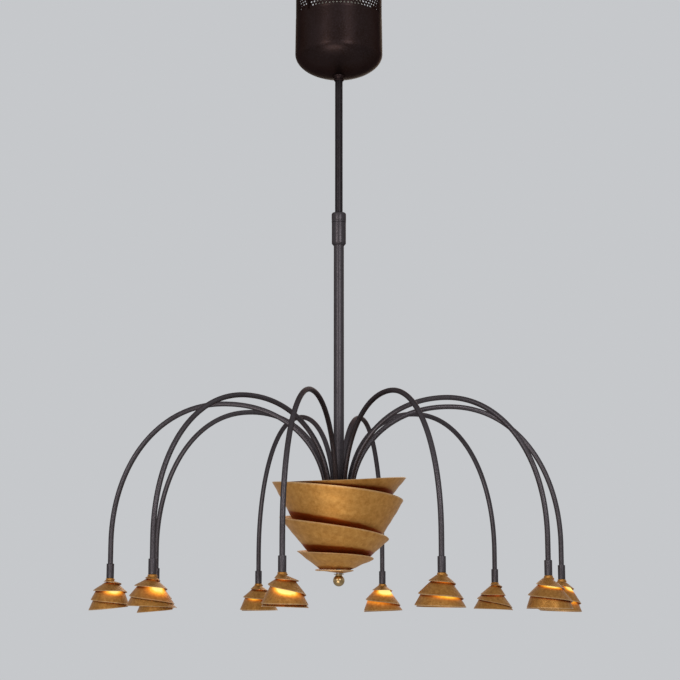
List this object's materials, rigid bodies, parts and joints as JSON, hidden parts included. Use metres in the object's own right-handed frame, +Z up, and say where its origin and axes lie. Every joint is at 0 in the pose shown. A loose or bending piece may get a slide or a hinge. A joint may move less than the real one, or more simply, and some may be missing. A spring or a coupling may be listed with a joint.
{
  "type": "pendant lamp",
  "caption": "Ceiling pendant lamp: dark domed canopy, telescoping stem with ball swivel, arched arms with small gilt spiral shades and capsule bulbs, and a central gilt spiral bowl.",
  "frame": {"origin": "on the ceiling, at the centre of the bracket, on the axis of the lamp", "axes": "+Z up into the ceiling along the stem, -Y towards the front of the lamp as pictured, +X right"},
  "size_m": [0.8669, 0.8566, 1.1369],
  "materials": {
    "brown_lacquer": "satin",
    "gold_leaf": "satin",
    "shade_gold": "satin",
    "polished_brass": "polished",
    "zinc_steel": "satin",
    "winding_tape": "satin",
    "white_nylon": "matte",
    "bulb_glass": "gloss"
  },
  "bodies": {
    "canopy": {"ceiling_bracket": "zinc_steel", "canopy_screw_1": "brown_lacquer", "canopy_screw_2": "brown_lacquer", "vent_band": "brown_lacquer", "canopy_cup": "brown_lacquer", "transformer": "winding_tape", "transformer_washer": "zinc_steel", "transformer_bolt": "zinc_steel", "terminal_block": "white_nylon"},
    "swivel": {"swivel_seat": "brown_lacquer"},
    "stem": {"swivel_ball": "brown_lacquer", "upper_tube": "brown_lacquer"},
    "fixture": {"lower_tube": "brown_lacquer", "clamp_sleeve": "brown_lacquer", "arm_hub": "brown_lacquer", "centre_rod": "zinc_steel", "bowl": "gold_leaf", "bowl_washer": "polished_brass", "finial_ball": "polished_brass", "arm_1": "brown_lacquer", "arm_2": "brown_lacquer", "arm_3": "brown_lacquer", "arm_4": "brown_lacquer", "arm_5": "brown_lacquer", "arm_6": "brown_lacquer", "arm_7": "brown_lacquer", "arm_8": "brown_lacquer", "arm_9": "brown_lacquer", "arm_10": "brown_lacquer", "lampholder_1": "brown_lacquer", "lampholder_2": "brown_lacquer", "lampholder_3": "brown_lacquer", "lampholder_4": "brown_lacquer", "lampholder_5": "brown_lacquer", "lampholder_6": "brown_lacquer", "lampholder_7": "brown_lacquer", "lampholder_8": "brown_lacquer", "lampholder_9": "brown_lacquer", "lampholder_10": "brown_lacquer"},
    "clamp_nut": {"clamp_nut": "brown_lacquer"},
    "shade_1": {"shade_1": "shade_gold"},
    "bulb_1": {"bulb_1": "bulb_glass"},
    "shade_2": {"shade_2": "shade_gold"},
    "bulb_2": {"bulb_2": "bulb_glass"},
    "shade_3": {"shade_3": "shade_gold"},
    "bulb_3": {"bulb_3": "bulb_glass"},
    "shade_4": {"shade_4": "shade_gold"},
    "bulb_4": {"bulb_4": "bulb_glass"},
    "shade_5": {"shade_5": "shade_gold"},
    "bulb_5": {"bulb_5": "bulb_glass"},
    "shade_6": {"shade_6": "shade_gold"},
    "bulb_6": {"bulb_6": "bulb_glass"},
    "shade_7": {"shade_7": "shade_gold"},
    "bulb_7": {"bulb_7": "bulb_glass"},
    "shade_8": {"shade_8": "shade_gold"},
    "bulb_8": {"bulb_8": "bulb_glass"},
    "shade_9": {"shade_9": "shade_gold"},
    "bulb_9": {"bulb_9": "bulb_glass"},
    "shade_10": {"shade_10": "shade_gold"},
    "bulb_10": {"bulb_10": "bulb_glass"}
  },
  "joints": [
    {"name": "lamp_turn", "type": "hinge", "parent": "canopy", "child": "swivel", "pos_m": [0, 0, -0.1544], "axis": [0, 0, 1], "range_deg": [-170, 170]},
    {"name": "lamp_tilt", "type": "hinge", "parent": "swivel", "child": "stem", "pos_m": [0, 0, -0.1544], "axis": [1, 0, 0], "range_deg": [-20, 20]},
    {"name": "height_slide", "type": "slide", "parent": "stem", "child": "fixture", "axis": [0, 0, 1], "range_m": [-0.2, 0.2]},
    {"name": "clamp_turn", "type": "hinge", "parent": "fixture", "child": "clamp_nut", "pos_m": [0, 0, -0.4238], "axis": [0, 0, 1], "range_deg": [0, 270]},
    {"name": "shade_1_turn", "type": "hinge", "parent": "fixture", "child": "shade_1", "pos_m": [-0.08658, -0.39052, -1.081], "axis": [0, 0, 1], "continuous": true},
    {"name": "bulb_1_pull", "type": "slide", "parent": "fixture", "child": "bulb_1", "axis": [0, 0, -1], "range_m": [0, 0.045]},
    {"name": "shade_2_turn", "type": "hinge", "parent": "fixture", "child": "shade_2", "pos_m": [-0.29958, -0.26505, -1.081], "axis": [0, 0, 1], "continuous": true},
    {"name": "bulb_2_pull", "type": "slide", "parent": "fixture", "child": "bulb_2", "axis": [0, 0, -1], "range_m": [0, 0.045]},
    {"name": "shade_3_turn", "type": "hinge", "parent": "fixture", "child": "shade_3", "pos_m": [-0.39816, -0.03834, -1.081], "axis": [0, 0, 1], "continuous": true},
    {"name": "bulb_3_pull", "type": "slide", "parent": "fixture", "child": "bulb_3", "axis": [0, 0, -1], "range_m": [0, 0.045]},
    {"name": "shade_4_turn", "type": "hinge", "parent": "fixture", "child": "shade_4", "pos_m": [-0.34465, 0.20302, -1.081], "axis": [0, 0, 1], "continuous": true},
    {"name": "bulb_4_pull", "type": "slide", "parent": "fixture", "child": "bulb_4", "axis": [0, 0, -1], "range_m": [0, 0.045]},
    {"name": "shade_5_turn", "type": "hinge", "parent": "fixture", "child": "shade_5", "pos_m": [-0.1595, 0.36682, -1.081], "axis": [0, 0, 1], "continuous": true},
    {"name": "bulb_5_pull", "type": "slide", "parent": "fixture", "child": "bulb_5", "axis": [0, 0, -1], "range_m": [0, 0.045]},
    {"name": "shade_6_turn", "type": "hinge", "parent": "fixture", "child": "shade_6", "pos_m": [0.08658, 0.39052, -1.081], "axis": [0, 0, 1], "continuous": true},
    {"name": "bulb_6_pull", "type": "slide", "parent": "fixture", "child": "bulb_6", "axis": [0, 0, -1], "range_m": [0, 0.045]},
    {"name": "shade_7_turn", "type": "hinge", "parent": "fixture", "child": "shade_7", "pos_m": [0.29958, 0.26505, -1.081], "axis": [0, 0, 1], "continuous": true},
    {"name": "bulb_7_pull", "type": "slide", "parent": "fixture", "child": "bulb_7", "axis": [0, 0, -1], "range_m": [0, 0.045]},
    {"name": "shade_8_turn", "type": "hinge", "parent": "fixture", "child": "shade_8", "pos_m": [0.39816, 0.03834, -1.081], "axis": [0, 0, 1], "continuous": true},
    {"name": "bulb_8_pull", "type": "slide", "parent": "fixture", "child": "bulb_8", "axis": [0, 0, -1], "range_m": [0, 0.045]},
    {"name": "shade_9_turn", "type": "hinge", "parent": "fixture", "child": "shade_9", "pos_m": [0.34465, -0.20302, -1.081], "axis": [0, 0, 1], "continuous": true},
    {"name": "bulb_9_pull", "type": "slide", "parent": "fixture", "child": "bulb_9", "axis": [0, 0, -1], "range_m": [0, 0.045]},
    {"name": "shade_10_turn", "type": "hinge", "parent": "fixture", "child": "shade_10", "pos_m": [0.1595, -0.36682, -1.081], "axis": [0, 0, 1], "continuous": true},
    {"name": "bulb_10_pull", "type": "slide", "parent": "fixture", "child": "bulb_10", "axis": [0, 0, -1], "range_m": [0, 0.045]}
  ]
}
